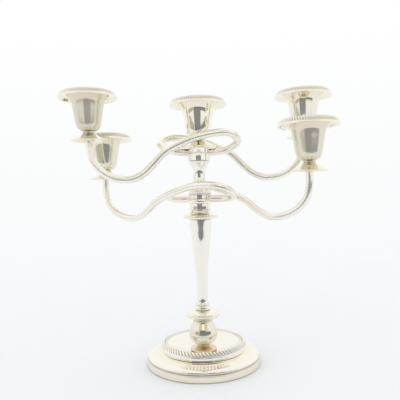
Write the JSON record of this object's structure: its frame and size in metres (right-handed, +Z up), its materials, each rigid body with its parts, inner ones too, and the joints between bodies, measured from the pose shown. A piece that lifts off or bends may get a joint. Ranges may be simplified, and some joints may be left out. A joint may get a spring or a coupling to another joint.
{
  "type": "tabletop candelabra",
  "caption": "Polished tabletop candelabra with a weighted stepped foot, tapered column, stacked lift-off branches of looped rod arms, and lift-out candle nozzles.",
  "frame": {"origin": "centre of the foot, on the surface it stands on", "axes": "+Z up along the stem, +X towards the right-hand arms, -Y towards the viewer"},
  "size_m": [0.3022, 0.147, 0.3],
  "materials": {
    "silver_plate": "polished warm silver plate",
    "steel": "plain",
    "weighting": "rough heavy filling",
    "felt": "felt"
  },
  "bodies": {
    "candlestick": {"foot_felt": "felt", "foot_shell": "silver_plate", "foot_gadroon_border": "silver_plate", "foot_weighting": "weighting", "tie_washer": "steel", "tie_nut": "steel", "tie_rod": "steel", "stem_foot": "silver_plate", "pear_knop": "silver_plate", "disc_knop": "silver_plate", "stem_ring": "silver_plate", "column": "silver_plate", "collar": "silver_plate", "stem_socket": "silver_plate"},
    "lower_spigot": {"lower_spigot": "silver_plate"},
    "lower_branch": {"lower_hub": "silver_plate", "lower_dome": "silver_plate", "trumpet_stem": "silver_plate", "lower_right_arm": "silver_plate", "lower_left_arm": "silver_plate", "lower_right_pan": "silver_plate", "lower_left_pan": "silver_plate", "lower_right_cup": "silver_plate", "lower_left_cup": "silver_plate", "lower_right_cup_screw": "steel", "lower_left_cup_screw": "steel"},
    "upper_spigot": {"upper_spigot": "silver_plate"},
    "upper_branch": {"upper_hub": "silver_plate", "upper_right_arm": "silver_plate", "upper_left_arm": "silver_plate", "upper_right_pan": "silver_plate", "upper_left_pan": "silver_plate", "centre_pan": "silver_plate", "upper_right_cup": "silver_plate", "upper_left_cup": "silver_plate", "centre_cup": "silver_plate", "upper_right_cup_screw": "steel", "upper_left_cup_screw": "steel", "centre_cup_screw": "steel"},
    "lower_left_nozzle": {"lower_left_nozzle": "silver_plate"},
    "lower_right_nozzle": {"lower_right_nozzle": "silver_plate"},
    "upper_left_nozzle": {"upper_left_nozzle": "silver_plate"},
    "upper_right_nozzle": {"upper_right_nozzle": "silver_plate"},
    "centre_nozzle": {"centre_nozzle": "silver_plate"}
  },
  "joints": [
    {"name": "lower_branch_lift", "type": "slide", "parent": "candlestick", "child": "lower_spigot", "axis": [0, 0, 1], "range_m": [0, 0.03]},
    {"name": "lower_branch_turn", "type": "hinge", "parent": "lower_spigot", "child": "lower_branch", "pos_m": [0, 0, 0.18], "axis": [0, 0, 1], "continuous": true},
    {"name": "upper_branch_lift", "type": "slide", "parent": "lower_branch", "child": "upper_spigot", "axis": [0, 0, 1], "range_m": [0, 0.02]},
    {"name": "upper_branch_turn", "type": "hinge", "parent": "upper_spigot", "child": "upper_branch", "pos_m": [0, 0, 0.23], "axis": [0, 0, 1], "range_deg": [0, 130]},
    {"name": "lower_left_nozzle_lift", "type": "slide", "parent": "lower_branch", "child": "lower_left_nozzle", "axis": [0, 0, 1], "range_m": [0, 0.022]},
    {"name": "lower_right_nozzle_lift", "type": "slide", "parent": "lower_branch", "child": "lower_right_nozzle", "axis": [0, 0, 1], "range_m": [0, 0.022]},
    {"name": "upper_left_nozzle_lift", "type": "slide", "parent": "upper_branch", "child": "upper_left_nozzle", "axis": [0, 0, 1], "range_m": [0, 0.022]},
    {"name": "upper_right_nozzle_lift", "type": "slide", "parent": "upper_branch", "child": "upper_right_nozzle", "axis": [0, 0, 1], "range_m": [0, 0.022]},
    {"name": "centre_nozzle_lift", "type": "slide", "parent": "upper_branch", "child": "centre_nozzle", "axis": [0, 0, 1], "range_m": [0, 0.022]}
  ]
}
